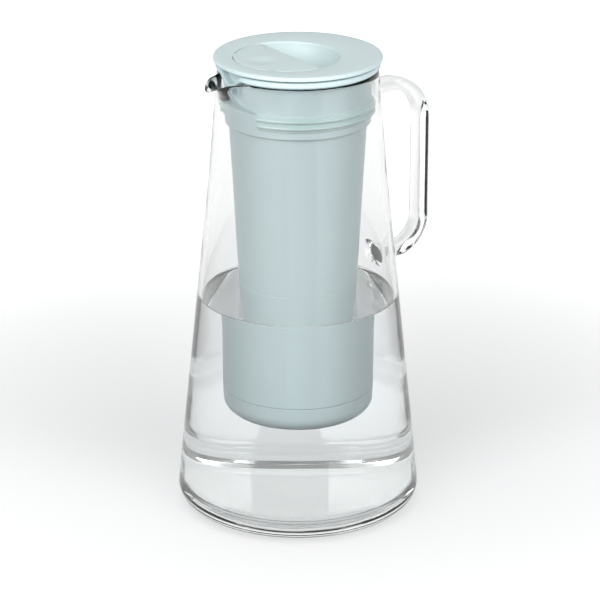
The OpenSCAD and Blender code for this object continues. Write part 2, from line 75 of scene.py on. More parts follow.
# Floor: a plain white sheet that sweeps up far behind the jug. It shows white to the camera,
# a little dimmer in and through the glass, and keeps the soft shadow of the jug.
FLOOR_HALF, SWEEP_START, SWEEP_R, SWEEP_TOP = 5, 2.4, 0.6, 2.6
FLOOR_COLOR = (0.76, 0.765, 0.77, 1)
LIFT_NEAR, LIFT_FAR, NEAR_R, FAR_R, BENT_SHARE = 0.23, 1.0, 0.12, 0.85, 0.6
FLOOR_DROP, SWEEP_STEPS, SWEEP_TURN = 0.0002, 13, 7.5
bpy.ops.mesh.primitive_plane_add(size=2, location=(0, 0, -FLOOR_DROP))
floor = bpy.context.object
floor.name = "floor"
bpy.ops.object.mode_set(mode="EDIT")
bpy.ops.transform.resize(value=(FLOOR_HALF, (FLOOR_HALF + SWEEP_START) / 2, 1))
bpy.ops.transform.translate(value=(0, (SWEEP_START - FLOOR_HALF) / 2, 0))
bpy.ops.object.mode_set(mode="OBJECT")
bpy.ops.object.transform_apply(location=True)
shape = bmesh.new()
shape.from_mesh(floor.data)
edge = max(shape.edges, key=lambda e: min(v.co.y for v in e.verts))
for step in range(1, SWEEP_STEPS + 1):
    turn = math.radians(SWEEP_TURN * step)
    y, z = SWEEP_START + SWEEP_R * math.sin(turn), SWEEP_R * (1 - math.cos(turn))
    if step == SWEEP_STEPS:
        y, z = SWEEP_START + SWEEP_R, SWEEP_TOP
    drawn = bmesh.ops.extrude_edge_only(shape, edges=[edge])["geom"]
    edge = next(g for g in drawn if isinstance(g, bmesh.types.BMEdge))
    for vert in edge.verts:
        vert.co.y, vert.co.z = y, z - FLOOR_DROP
shape.to_mesh(floor.data)
shape.free()
floor.rotation_euler.z = VIEW_TURN
floor_look = bpy.data.materials.new("floor")
floor_look.use_nodes = True
nodes, links = floor_look.node_tree.nodes, floor_look.node_tree.links
paper = nodes["Principled BSDF"]
paper.inputs["Base Color"].default_value = FLOOR_COLOR
paper.inputs["Roughness"].default_value = 0.9
paper.inputs["Specular IOR Level"].default_value = 0.1
paper.inputs["Emission Color"].default_value = (1, 1, 1, 1)
path = nodes.new("ShaderNodeLightPath")
bent = nodes.new("ShaderNodeMath")
bent.operation = "MAXIMUM"
links.new(path.outputs["Is Transmission Ray"], bent.inputs[0])
links.new(path.outputs["Is Glossy Ray"], bent.inputs[1])
shown = nodes.new("ShaderNodeMath")
shown.operation = "MULTIPLY_ADD"
shown.inputs[1].default_value = BENT_SHARE
links.new(bent.outputs[0], shown.inputs[0])
links.new(path.outputs["Is Camera Ray"], shown.inputs[2])
place = nodes.new("ShaderNodeTexCoord")
away = nodes.new("ShaderNodeVectorMath")
away.operation = "LENGTH"
links.new(place.outputs["Object"], away.inputs[0])
lift = nodes.new("ShaderNodeMapRange")
lift.interpolation_type = "SMOOTHSTEP"
for label, value in (("From Min", NEAR_R), ("From Max", FAR_R),
                     ("To Min", LIFT_NEAR), ("To Max", LIFT_FAR)):
    lift.inputs[label].default_value = value
links.new(away.outputs["Value"], lift.inputs["Value"])
glow = nodes.new("ShaderNodeMath")
glow.operation = "MULTIPLY"
links.new(lift.outputs[0], glow.inputs[0])
links.new(shown.outputs[0], glow.inputs[1])
links.new(glow.outputs[0], paper.inputs["Emission Strength"])
floor.data.materials.append(floor_look)
floor.select_set(False)

# Light: a dim quiet room and three large soft panels, one above and one on each side of the
# camera.
ROOM_LEVEL = 0.13
world = bpy.data.worlds.new("room")
scene.world = world
world.use_nodes = True
world.node_tree.nodes["Background"].inputs["Color"].default_value = (1, 1, 1, 1)
world.node_tree.nodes["Background"].inputs["Strength"].default_value = ROOM_LEVEL


def soft_panel(name, turn, distance, height, aim, size, power):
    """A square soft box at a turn in degrees from the camera's side, aimed at a height on the axis."""
    data = bpy.data.lights.new(name, "AREA")
    data.shape = "RECTANGLE"
    data.size, data.size_y, data.energy = size, size, power
    panel = bpy.data.objects.new(name, data)
    bpy.context.collection.objects.link(panel)
    side = VIEW_TURN - math.radians(90) + math.radians(turn)
    panel.location = (math.cos(side) * distance, math.sin(side) * distance, height)
    aim_at = Vector((0, 0, aim)) - panel.location
    panel.rotation_euler = aim_at.to_track_quat("-Z", "Y").to_euler()


TOP_SIZE, SIDE_SIZE, SIDE_AWAY, SIDE_HEIGHT, SIDE_AIM = 1.5, 1.4, 1.6, 0.95, 0.14
soft_panel("top_panel", -60, 0.25, 1.6, 0.1, TOP_SIZE, 6)
soft_panel("left_panel", -36, SIDE_AWAY, SIDE_HEIGHT, SIDE_AIM, SIDE_SIZE, 29)
soft_panel("right_panel", 44, SIDE_AWAY, SIDE_HEIGHT, SIDE_AIM, SIDE_SIZE, 24)

# Glass jug: one blown and pressed piece of clear glass with a thick floor, a pulled spout and a
# strap handle, fused on hot at two flared pads. The wall is turned, the spout is drawn out of
# it, and the strap is swept leg by leg and joined.
JUG_STEPS = 256
FOOT_R, NECK_R, NECK_Z, RIM_R, RIM_Z = 71.46, 50.8, 197, 45.5, 261.5
WALL, RIM_WALL, FLOOR_T, HEEL_R, INNER_HEEL_R = 2.7, 2.2, 9, 10, 8
SPOUT_PULL, SPOUT_H, SPOUT_HALF, SPOUT_FROM_Z = 15.5, 18, 15.5, 238
LIP_OUT_R, LIP_DEPTH, DROOP, DROOP_FROM = 0.9, 3.2, 4.6, 0.45
GRIP_X, STRAP_W, STRAP_T, STRAP_EDGE = 85.5, 13, 8, 3.8
LEG_TOP_Z, LEG_LOW_Z, BEND_TOP_R, BEND_LOW_R = 241.5, 139.5, 23, 20
PAD_FLARE, PAD_LENGTH, LEG_STEPS, BEND_STEPS = 3.0, 7.5, 14, 18
GLASS_IOR = 1.5
SHARP = math.radians(30)


def arc(cx, cz, r, start, end, steps):
    """Points of an arc in an outline, from one angle to another in degrees."""
    turns = [math.radians(start + (end - start) * i / steps) for i in range(steps + 1)]
    return [(cx + r * math.cos(a), cz + r * math.sin(a)) for a in turns]


def line(start, end, steps):
    """The points between two ends of a straight stretch, without the ends."""
    return [tuple(s + (e - s) * i / steps for s, e in zip(start, end)) for i in range(1, steps)]


def take_up(piece):
    """Select a piece and make it the active one."""
    bpy.context.view_layer.objects.active = piece
    piece.select_set(True)


def turned(name, outline, steps=160, closed=False, start=0.0, sweep=360.0):
    """A piece spun about the jug's axis from an outline of radius and height in millimetres."""
    lead = math.radians(start)
    points = [(r * MM * math.cos(lead), r * MM * math.sin(lead), z * MM) for r, z in outline]
    edges = [(i, i + 1) for i in range(len(points) - 1)]
    if closed:
        edges.append((len(points) - 1, 0))
    mesh = bpy.data.meshes.new(name)
    mesh.from_pydata(points, edges, [])
    piece = bpy.data.objects.new(name, mesh)
    bpy.context.collection.objects.link(piece)
    take_up(piece)
    bpy.ops.object.mode_set(mode="EDIT")
    bpy.ops.mesh.select_all(action="SELECT")
    bpy.ops.mesh.spin(steps=steps, angle=-math.radians(sweep), center=(0, 0, 0), axis=(0, 0, 1))
    bpy.ops.mesh.select_all(action="SELECT")
    bpy.ops.mesh.remove_doubles(threshold=1e-6)
    bpy.ops.mesh.fill_holes(sides=0)
    bpy.ops.mesh.select_all(action="SELECT")
    bpy.ops.mesh.normals_make_consistent(inside=False)
    bpy.ops.object.mode_set(mode="OBJECT")
    bpy.ops.object.shade_smooth_by_angle(angle=SHARP)
    piece.select_set(False)
    return piece


def combine(piece, tool, how):
    """Join a closed tool piece to a closed piece, or cut it away, and drop the tool."""
    step = piece.modifiers.new("combine", "BOOLEAN")
    step.operation = how
    step.solver = "MANIFOLD"
    step.object = tool
    take_up(piece)
    bpy.ops.object.modifier_apply(modifier=step.name)
    bpy.ops.object.shade_smooth_by_angle(angle=SHARP)
    piece.select_set(False)
    piece.data.materials.clear()
    bpy.data.objects.remove(tool)


cone_slope = (FOOT_R - NECK_R) / NECK_Z
neck_slope = (NECK_R - RIM_R) / (RIM_Z - NECK_Z)
cone_lean = math.degrees(math.atan(cone_slope))
lean_cos = math.cos(math.radians(cone_lean))


def jug_r(z):
    """The jug's outer radius at a height above its heel."""
    return FOOT_R - cone_slope * z if z < NECK_Z else NECK_R - neck_slope * (z - NECK_Z)


heel_c = FOOT_R - cone_slope * HEEL_R - HEEL_R / lean_cos
inner_z = FLOOR_T + INNER_HEEL_R
inner_c = FOOT_R - WALL / lean_cos - cone_slope * inner_z - INNER_HEEL_R / lean_cos
outer_heel = arc(heel_c, HEEL_R, HEEL_R, -90, cone_lean, 20)
inner_heel = arc(inner_c, inner_z, INNER_HEEL_R, cone_lean, -90, 18)
neck_out = (NECK_R, NECK_Z)
neck_in = (NECK_R - WALL, NECK_Z)
lip_c = RIM_R - LIP_OUT_R
rim_arc = arc(lip_c, RIM_Z - LIP_OUT_R, LIP_OUT_R, 0, 90, 5)
for i in range(1, 9):
    turn = math.radians(90 * i / 8)
    rim_arc.append((lip_c - (RIM_WALL - LIP_OUT_R) * math.sin(turn),
                    RIM_Z - LIP_DEPTH * (1 - math.cos(turn))))
spout_root_out = (jug_r(SPOUT_FROM_Z), SPOUT_FROM_Z)
root_share = (SPOUT_FROM_Z - NECK_Z) / (RIM_Z - NECK_Z)
spout_root_in = (neck_in[0] + (rim_arc[-1][0] - neck_in[0]) * root_share, SPOUT_FROM_Z)
jug_outline = (
    [(0, 0), (heel_c * 0.5, 0)] + outer_heel + line(outer_heel[-1], neck_out, 8) + [neck_out]
    + line(neck_out, spout_root_out, 4) + [spout_root_out] + line(spout_root_out, rim_arc[0], 22)
    + rim_arc + line(rim_arc[-1], spout_root_in, 22) + [spout_root_in]
    + line(spout_root_in, neck_in, 4) + [neck_in] + line(neck_in, inner_heel[0], 8)
    + inner_heel + [(inner_c * 0.5, FLOOR_T), (0, FLOOR_T)]
)
glass = turned("glass_body", jug_outline, JUG_STEPS)


def spout_pull(x, y, z):
    """How far the hot glass was drawn out towards the spout at a point, in millimetres."""
    rise = (z - (RIM_Z - SPOUT_H)) / SPOUT_H
    across = abs(y) / SPOUT_HALF
    if rise <= 0 or across >= 1 or x > 0:
        return 0
    return SPOUT_PULL * rise ** 2.1 * (1 - across ** 2.3) ** 1.5


for vert in glass.data.vertices:
    pull = spout_pull(*(c / MM for c in vert.co))
    droop = max(0, pull / SPOUT_PULL - DROOP_FROM) / (1 - DROOP_FROM)
    vert.co.x -= pull * MM
    vert.co.z -= DROOP * droop ** 2 * MM


def flare(distance):
    """How much the strap's half section grows, this far out from the jug's wall."""
    return PAD_FLARE * max(0.0, 1 - distance / PAD_LENGTH) ** 2


def strap_scale(before, after, place):
    """Scale the strap's end face from one flare to the next, about its middle."""
    wide = (STRAP_W / 2 + after) / (STRAP_W / 2 + before)
    thick = (STRAP_T / 2 + after) / (STRAP_T / 2 + before)
    bpy.ops.transform.resize(value=(1, wide, thick), center_override=place)


def strap_leg(from_x, to_x, z):
    """Draw a leg of the strap out of its end face, wider near the wall."""
    wall_x = jug_r(z)
    for i in range(LEG_STEPS):
        a = from_x + (to_x - from_x) * i / LEG_STEPS
        b = from_x + (to_x - from_x) * (i + 1) / LEG_STEPS
        bpy.ops.mesh.extrude_region_move(TRANSFORM_OT_translate={"value": ((b - a) * MM, 0, 0)})
        strap_scale(flare(a - wall_x), flare(b - wall_x), (b * MM, 0, z * MM))


leg_top_x = jug_r(LEG_TOP_Z) - RIM_WALL * 0.7
leg_low_x = jug_r(LEG_LOW_Z) - WALL * 0.6
bend_top = (GRIP_X - BEND_TOP_R, LEG_TOP_Z - BEND_TOP_R)
bend_low = (GRIP_X - BEND_LOW_R, LEG_LOW_Z + BEND_LOW_R)
bpy.ops.mesh.primitive_plane_add(size=1, location=(leg_top_x * MM, 0, LEG_TOP_Z * MM),
                                 rotation=(0, math.pi / 2, 0))
strap = bpy.context.object
strap.name = "glass_strap"
bpy.ops.object.mode_set(mode="EDIT")
bpy.ops.transform.resize(value=(1, STRAP_W * MM, STRAP_T * MM))
bpy.ops.mesh.bevel(offset=STRAP_EDGE * MM, segments=5, affect="VERTICES")
bpy.ops.mesh.select_all(action="SELECT")
strap_scale(0, flare(leg_top_x - jug_r(LEG_TOP_Z)), (leg_top_x * MM, 0, LEG_TOP_Z * MM))
strap_leg(leg_top_x, bend_top[0], LEG_TOP_Z)
bpy.ops.mesh.spin(steps=BEND_STEPS, angle=-math.pi / 2, axis=(0, 1, 0),
                  center=(bend_top[0] * MM, 0, bend_top[1] * MM))
bpy.ops.mesh.extrude_region_move(
    TRANSFORM_OT_translate={"value": (0, 0, (bend_low[1] - bend_top[1]) * MM)})
bpy.ops.mesh.spin(steps=BEND_STEPS, angle=-math.pi / 2, axis=(0, 1, 0),
                  center=(bend_low[0] * MM, 0, bend_low[1] * MM))
strap_leg(bend_low[0], leg_low_x, LEG_LOW_Z)
bpy.ops.mesh.select_all(action="SELECT")
bpy.ops.mesh.remove_doubles(threshold=1e-6)
bpy.ops.mesh.normals_make_consistent(inside=False)
bpy.ops.object.mode_set(mode="OBJECT")
bpy.ops.object.transform_apply(location=True, rotation=True, scale=True)
strap.select_set(False)
combine(glass, strap, "UNION")


def see_through(name, tint, ior, shade):
    """Clear stuff that bends light, and lets a shadow ray straight through."""
    look = bpy.data.materials.new(name)
    look.use_nodes = True
    nodes, links = look.node_tree.nodes, look.node_tree.links
    body = nodes["Principled BSDF"]
    body.inputs["Base Color"].default_value = tint
    body.inputs["Roughness"].default_value = 0.0
    body.inputs["Transmission Weight"].default_value = 1.0
    body.inputs["IOR"].default_value = ior
    path = nodes.new("ShaderNodeLightPath")
    open_air = nodes.new("ShaderNodeBsdfTransparent")
    open_air.inputs["Color"].default_value = shade
    through = nodes.new("ShaderNodeMixShader")
    links.new(path.outputs["Is Shadow Ray"], through.inputs["Fac"])
    links.new(body.outputs[0], through.inputs[1])
    links.new(open_air.outputs[0], through.inputs[2])
    links.new(through.outputs[0], nodes["Material Output"].inputs["Surface"])
    return look


GLASS_TINT, GLASS_SHADE = (0.985, 0.995, 0.993, 1), (0.96, 0.965, 0.965, 1)
WAVE_SCALE, WAVE_HEIGHT = 55, 0.00006
clear = see_through("clear_glass", GLASS_TINT, GLASS_IOR, GLASS_SHADE)
nodes, links = clear.node_tree.nodes, clear.node_tree.links
place = nodes.new("ShaderNodeTexCoord")
waves = nodes.new("ShaderNodeTexNoise")
waves.inputs["Scale"].default_value = WAVE_SCALE
waves.inputs["Detail"].default_value = 1
drawn = nodes.new("ShaderNodeBump")
drawn.inputs["Distance"].default_value = WAVE_HEIGHT
links.new(place.outputs["Object"], waves.inputs["Vector"])
links.new(waves.outputs["Fac"], drawn.inputs["Height"])
links.new(drawn.outputs[0], nodes["Principled BSDF"].inputs["Normal"])
glass.data.materials.append(clear)
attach(glass, "jug")
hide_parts("glass_jug", "glass_handle")

# Water: the jug is shown half filled. The water's skin lies a little inside the glass, so that
# light bends straight from one to the other, and it creeps up the wall at the waterline.
WATER_Z, SOAK, CREEP_H, CREEP_W = 126.5, 0.4, 1.2, 2.0
WATER_IOR, WATER_TINT, WATER_SHADE = 1.333, (0.99, 1, 1, 1), (0.97, 0.98, 0.98, 1)
water_r = jug_r(WATER_Z) - WALL / lean_cos
soaked_heel = arc(inner_c, inner_z, INNER_HEEL_R + SOAK, -90, cone_lean, 18)
water_outline = (
    [(0, FLOOR_T - SOAK)] + soaked_heel
    + [(water_r + SOAK, WATER_Z + CREEP_H)]
    + arc(water_r - CREEP_W, WATER_Z + CREEP_W, CREEP_W, -25, -90, 8) + [(0, WATER_Z)]
)
water = turned("water", water_outline, JUG_STEPS)
water.data.materials.append(see_through("water", WATER_TINT, WATER_IOR, WATER_SHADE))
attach(water, "jug")

# Reservoir: one moulding in pale aqua plastic. A flange hangs on the glass rim and dips at the
# spout, the collar below it has a pour pocket, and the tub tapers to a floor with a spigot.
PLASTIC_STEPS = 240
COLLAR_R, COLLAR_IN, COLLAR_Z = 41.2, 39.4, 231.5
FLANGE_R, FLANGE_Z, FLANGE_TOP, FLANGE_EDGE = 46.3, 262.1, 265.5, 1.2
TUB_TOP_R, TUB_LOW_R, TUB_Z, TUB_WALL, TUB_FLOOR = 39.0, 33.9, 136, 1.8, 138.5
DIP_DEPTH, DIP_HALF, DIP_START = 6.0, 11.2, 0.7
SPIGOT_R, SPIGOT_WALL, SPIGOT_Z = 32.05, 1.9, 127
MEMBRANE_HOLE_R = 22.5
POCKET_TOP_Z, POCKET_KNEE_Z, POCKET_LOW_Z = 255.5, 249.5, 244.4
POCKET_TOP_HALF, POCKET_LOW_HALF, POCKET_X, POCKET_BACK = 6.0, 17.0, -36.7, 1.6
POCKET_ROOF, POCKET_SOFT = 1.2, 0.9
AQUA = (0.555, 0.685, 0.705, 1)


def groove(r, z, half, depth):
    """The outline of a groove for an O-ring in an outer wall, from its lower to its upper lip."""
    return [(r, z - half), (r - depth, z - half), (r - depth, z + half), (r, z + half)]


spigot_in = SPIGOT_R - SPIGOT_WALL
reservoir_outline = (
    [(MEMBRANE_HOLE_R, TUB_Z), (spigot_in, TUB_Z), (spigot_in, SPIGOT_Z),
     (SPIGOT_R - 0.4, SPIGOT_Z), (SPIGOT_R, SPIGOT_Z + 0.4)]
    + groove(SPIGOT_R, (SPIGOT_Z + TUB_Z) / 2, 0.9, 1.6)
    + [(SPIGOT_R, TUB_Z), (TUB_LOW_R - 0.2, TUB_Z), (TUB_LOW_R, TUB_Z + 0.2)]
    + [(TUB_TOP_R, COLLAR_Z - 0.5)] + arc(TUB_TOP_R + 0.5, COLLAR_Z - 0.5, 0.5, 180, 90, 4)
    + arc(COLLAR_R - 0.7, COLLAR_Z + 0.7, 0.7, -90, 0, 6)
    + [(COLLAR_R, FLANGE_Z), (COLLAR_R + DIP_START, FLANGE_Z), (COLLAR_R + 2.5, FLANGE_Z)]
    + arc(FLANGE_R - FLANGE_EDGE, FLANGE_Z + FLANGE_EDGE, FLANGE_EDGE, -90, 0, 6)
    + arc(FLANGE_R - FLANGE_EDGE, FLANGE_TOP - FLANGE_EDGE, FLANGE_EDGE, 0, 90, 6)
    + [(COLLAR_R + 2.5, FLANGE_TOP), (COLLAR_R + DIP_START, FLANGE_TOP),
       (COLLAR_R + 0.1, FLANGE_TOP)]
    + arc(COLLAR_IN + 0.5, FLANGE_TOP - 0.5, 0.5, 90, 180, 4)
    + [(COLLAR_IN, COLLAR_Z + 4), (TUB_TOP_R - TUB_WALL, COLLAR_Z + 1)]
    + arc(TUB_LOW_R - TUB_WALL - 3, TUB_FLOOR + 3, 3, 0, -90, 8)
    + [(MEMBRANE_HOLE_R, TUB_FLOOR)]
)
reservoir = turned("reservoir_tub", reservoir_outline, PLASTIC_STEPS, closed=True)
for vert in reservoir.data.vertices:
    x, y, z = (c / MM for c in vert.co)
    beyond = min(1, max(0, (math.hypot(x, y) - COLLAR_R - 0.1) / (DIP_START - 0.1)))
    if z > FLANGE_Z - 0.1 and x < 0 and abs(y) < DIP_HALF:
        bell = 0.5 + 0.5 * math.cos(math.pi * abs(y) / DIP_HALF)
        vert.co.z -= DIP_DEPTH * beyond * bell ** 0.85 * MM


def prism(name, points, from_x, to_x):
    """A slab of an outline of y and z in millimetres, drawn out along x."""
    mesh = bpy.data.meshes.new(name)
    mesh.from_pydata([(from_x * MM, y * MM, z * MM) for y, z in points], [],
                     [tuple(range(len(points)))])
    piece = bpy.data.objects.new(name, mesh)
    bpy.context.collection.objects.link(piece)
    take_up(piece)
    bpy.ops.object.mode_set(mode="EDIT")
    bpy.ops.mesh.select_all(action="SELECT")
    bpy.ops.mesh.extrude_region_move(
        TRANSFORM_OT_translate={"value": ((to_x - from_x) * MM, 0, 0)})
    bpy.ops.mesh.select_all(action="SELECT")
    bpy.ops.mesh.normals_make_consistent(inside=False)
    bpy.ops.object.mode_set(mode="OBJECT")
    piece.select_set(False)
    return piece


def rod(name, r, place, along, length, steps=48):
    """A round bar about a line that starts at a place in millimetres."""
    turn = {"x": (0, math.pi / 2, 0), "y": (-math.pi / 2, 0, 0), "z": (0, 0, 0)}[along]
    middle = [c + (length / 2 if axis == along else 0) for c, axis in zip(place, "xyz")]
    bpy.ops.mesh.primitive_cylinder_add(vertices=steps, radius=r * MM, depth=length * MM,
                                        location=[c * MM for c in middle], rotation=turn)
    piece = bpy.context.object
    piece.name = name
    bpy.ops.object.transform_apply(location=True, rotation=True, scale=True)
    piece.select_set(False)
    return piece


def pocket_points(grow, roof):
    """The pour pocket seen from the spout: a slot that widens to a ledge."""
    slot, ledge, top = POCKET_TOP_HALF + grow, POCKET_LOW_HALF + grow, POCKET_TOP_Z + roof
    return [(-slot, top), (-slot, POCKET_KNEE_Z), (-ledge, POCKET_LOW_Z - grow),
            (ledge, POCKET_LOW_Z - grow), (slot, POCKET_KNEE_Z), (slot, top)]


backing = prism("pocket_backing", pocket_points(POCKET_BACK, POCKET_ROOF), -COLLAR_R - 1,
                POCKET_X + POCKET_BACK)
combine(backing, rod("pocket_round", COLLAR_R - 0.5, (0, 0, 225), "z", 40, PLASTIC_STEPS),
        "INTERSECT")
combine(reservoir, backing, "UNION")
hollow = prism("pocket_hollow", pocket_points(0, 0), -COLLAR_R - 1, POCKET_X)
take_up(hollow)
round_off = hollow.modifiers.new("round_off", "BEVEL")
round_off.width = POCKET_SOFT * MM
round_off.segments = 4
bpy.ops.object.modifier_apply(modifier=round_off.name)
hollow.select_set(False)
combine(reservoir, hollow, "DIFFERENCE")


def group_tree(name, inputs):
    """A node group that gives colour, roughness and height, with its two ends and its place."""
    tree = bpy.data.node_groups.new(name, "ShaderNodeTree")
    for label, value in inputs:
        kind = "NodeSocketColor" if isinstance(value, tuple) else "NodeSocketFloat"
        socket = tree.interface.new_socket(name=label, in_out="INPUT", socket_type=kind)
        socket.default_value = value
    for label, kind in (("Color", "NodeSocketColor"), ("Roughness", "NodeSocketFloat"),
                        ("Height", "NodeSocketFloat")):
        tree.interface.new_socket(name=label, in_out="OUTPUT", socket_type=kind)
    taken, given = tree.nodes.new("NodeGroupInput"), tree.nodes.new("NodeGroupOutput")
    return tree, taken, given, tree.nodes.new("ShaderNodeTexCoord").outputs["Object"]


def noise(tree, vector, scale, detail=2.0):
    """A noise that reads a vector, or a socket that scales it."""
    node = tree.nodes.new("ShaderNodeTexNoise")
    node.inputs["Detail"].default_value = detail
    tree.links.new(vector, node.inputs["Vector"])
    if isinstance(scale, (int, float)):
        node.inputs["Scale"].default_value = scale
    else:
        tree.links.new(scale, node.inputs["Scale"])
    return node.outputs["Fac"]


def sums(tree, operation, a, b):
    """A math node on two sockets or numbers."""
    node = tree.nodes.new("ShaderNodeMath")
    node.operation = operation
    for socket, value in zip(node.inputs, (a, b)):
        if isinstance(value, (int, float)):
            socket.default_value = value
        else:
            tree.links.new(value, socket)
    return node.outputs[0]


def blend(tree, share, a, b):
    """A mix of two colours, each a socket or a plain colour."""
    node = tree.nodes.new("ShaderNodeMix")
    node.data_type = "RGBA"
    tree.links.new(share, node.inputs[0])
    for socket, value in ((node.inputs[6], a), (node.inputs[7], b)):
        if isinstance(value, tuple):
            socket.default_value = value
        else:
            tree.links.new(value, socket)
    return node.outputs[2]


# Moulded skin: slow flow marks in the colour and the sheen, and a fine spark-eroded grain.
FLOW_SCALE = 22
moulded_skin, taken, given, where = group_tree(
    "moulded_skin",
    [("Color", AQUA), ("Sheen", 0.4),
     ("Mottle", 0.05), ("Grain", 2600)])
flow = sums(moulded_skin, "SUBTRACT", noise(moulded_skin, where, FLOW_SCALE), 0.5)
grain = noise(moulded_skin, where, taken.outputs["Grain"], 1)
shade = sums(moulded_skin, "MULTIPLY_ADD", flow, taken.outputs["Mottle"])
shade.node.inputs[2].default_value = 1
tinted = moulded_skin.nodes.new("ShaderNodeVectorMath")
tinted.operation = "SCALE"
moulded_skin.links.new(taken.outputs["Color"], tinted.inputs[0])
moulded_skin.links.new(shade, tinted.inputs["Scale"])
rough = sums(moulded_skin, "MULTIPLY_ADD", flow, 0.12)
moulded_skin.links.new(taken.outputs["Sheen"], rough.node.inputs[2])
moulded_skin.links.new(tinted.outputs[0], given.inputs["Color"])
moulded_skin.links.new(rough, given.inputs["Roughness"])
moulded_skin.links.new(grain, given.inputs["Height"])


def skin(name, group, values, bump, **sockets):
    """A finish that takes its colour, sheen and grain from a node group."""
    look = bpy.data.materials.new(name)
    look.use_nodes = True
    nodes, links = look.node_tree.nodes, look.node_tree.links
    body = nodes["Principled BSDF"]
    for label, value in sockets.items():
        body.inputs[label.replace("_", " ")].default_value = value
    surface = nodes.new("ShaderNodeGroup")
    surface.node_tree = group
    for label, value in values.items():
        surface.inputs[label].default_value = value
    relief = nodes.new("ShaderNodeBump")
    relief.inputs["Strength"].default_value = 0.5
    relief.inputs["Distance"].default_value = bump * MM
    links.new(surface.outputs["Color"], body.inputs["Base Color"])
    links.new(surface.outputs["Roughness"], body.inputs["Roughness"])
    links.new(surface.outputs["Height"], relief.inputs["Height"])
    links.new(relief.outputs[0], body.inputs["Normal"])
    return look


GRAIN_BUMP = 0.02
aqua = skin("aqua_plastic", moulded_skin, {"Color": AQUA, "Sheen": 0.36}, GRAIN_BUMP)
reservoir.data.materials.append(aqua)
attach(reservoir, "reservoir")
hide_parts("reservoir")

# Collar seal: a soft silicone band with two lips that rub on the glass, open at the spout.
SEAL_GAP, SEAL_BASE, SEAL_Z, SEAL_TOP = 50, 0.8, 236, 245
LIPS_Z, LIP_HALF, LIP_OUT = (238.6, 242.4), 1.0, 2.4
band_r = COLLAR_R + SEAL_BASE
seal_outline = [(COLLAR_R - 0.05, SEAL_Z), (band_r - 0.3, SEAL_Z), (band_r, SEAL_Z + 0.3)]
for lip_z in LIPS_Z:
    seal_outline += [(band_r, lip_z - LIP_HALF - 0.15)]
    seal_outline += arc(COLLAR_R + LIP_OUT - LIP_HALF, lip_z, LIP_HALF, -90, 90, 10)
    seal_outline += [(band_r, lip_z + LIP_HALF + 0.15)]
seal_outline += [(band_r, SEAL_TOP - 0.3), (band_r - 0.3, SEAL_TOP), (COLLAR_R - 0.05, SEAL_TOP)]
seal = turned("seal_band", seal_outline, 200, closed=True,
              start=180 + SEAL_GAP / 2, sweep=360 - SEAL_GAP)
silicone = skin("aqua_silicone", moulded_skin,
                {"Color": (0.49, 0.64, 0.635, 1), "Sheen": 0.24, "Mottle": 0.03, "Grain": 900},
                0.01)
seal.data.materials.append(silicone)
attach(seal, "reservoir")
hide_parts("collar_seal")

# Filter cup: a thin tapered tube under the reservoir that stands in the water. A shelf inside
# it carries the gasket of the carbon cartridge.
CUP_LOW_R, CUP_WALL, SEAM_Z, SHELF_Z, SHELF_T, SHELF_HOLE_R = 31.9, 1.2, 69.5, 86, 2, 16
CUP_KNEE_R, CUP_KNEE_Z = 32.2, 106
cup_slope = (CUP_KNEE_R - CUP_LOW_R) / (CUP_KNEE_Z - SEAM_Z)
knee_slope = (TUB_LOW_R - CUP_KNEE_R) / (TUB_Z - CUP_KNEE_Z)
SEAM_SOFT = 0.3


def cup_in(z):
    """The cup's inner radius at a height."""
    if z > CUP_KNEE_Z:
        return CUP_KNEE_R + knee_slope * (z - CUP_KNEE_Z) - CUP_WALL
    return CUP_LOW_R + cup_slope * (z - SEAM_Z) - CUP_WALL


cup_outline = [
    (CUP_LOW_R - SEAM_SOFT, SEAM_Z), (CUP_LOW_R, SEAM_Z + SEAM_SOFT),
    (CUP_KNEE_R, CUP_KNEE_Z), (TUB_LOW_R, TUB_Z - 0.2), (TUB_LOW_R - 0.2, TUB_Z),
    (cup_in(TUB_Z), TUB_Z), (cup_in(CUP_KNEE_Z), CUP_KNEE_Z),
    (cup_in(SHELF_Z + SHELF_T), SHELF_Z + SHELF_T), (SHELF_HOLE_R + 0.4, SHELF_Z + SHELF_T),
    (SHELF_HOLE_R, SHELF_Z + SHELF_T - 0.4), (SHELF_HOLE_R, SHELF_Z),
    (cup_in(SHELF_Z), SHELF_Z), (CUP_LOW_R - CUP_WALL, SEAM_Z)]
cup = turned("filter_cup_wall", cup_outline, PLASTIC_STEPS, closed=True)
cup.data.materials.append(aqua)
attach(cup, "reservoir")
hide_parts("filter_cup")

# Rubber rings: cords of dark nitrile rubber in grooves between the mouldings.
rubber_skin, taken, given, where = group_tree(
    "rubber_skin",
    [("Color", (0.03, 0.033, 0.035, 1)), ("Bloom", 0.35)])
dusty = sums(rubber_skin, "MULTIPLY", noise(rubber_skin, where, 240, 3), taken.outputs["Bloom"])
BLOOM_TINT = (0.16, 0.165, 0.17, 1)
bloomed = blend(rubber_skin, dusty, taken.outputs["Color"], BLOOM_TINT)
rubber_skin.links.new(bloomed, given.inputs["Color"])
rubber_skin.links.new(sums(rubber_skin, "ADD", dusty, 0.42), given.inputs["Roughness"])
rubber_skin.links.new(noise(rubber_skin, where, 3000, 1), given.inputs["Height"])
rubber = skin("grey_rubber", rubber_skin, {}, 0.02)


def dress(node_name, look):
    """Give a carried-over piece its finish in place of the plain colour."""
    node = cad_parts[node_name]
    node.data.materials.clear()
    node.data.materials.append(look)


dress("cup_seal", rubber)

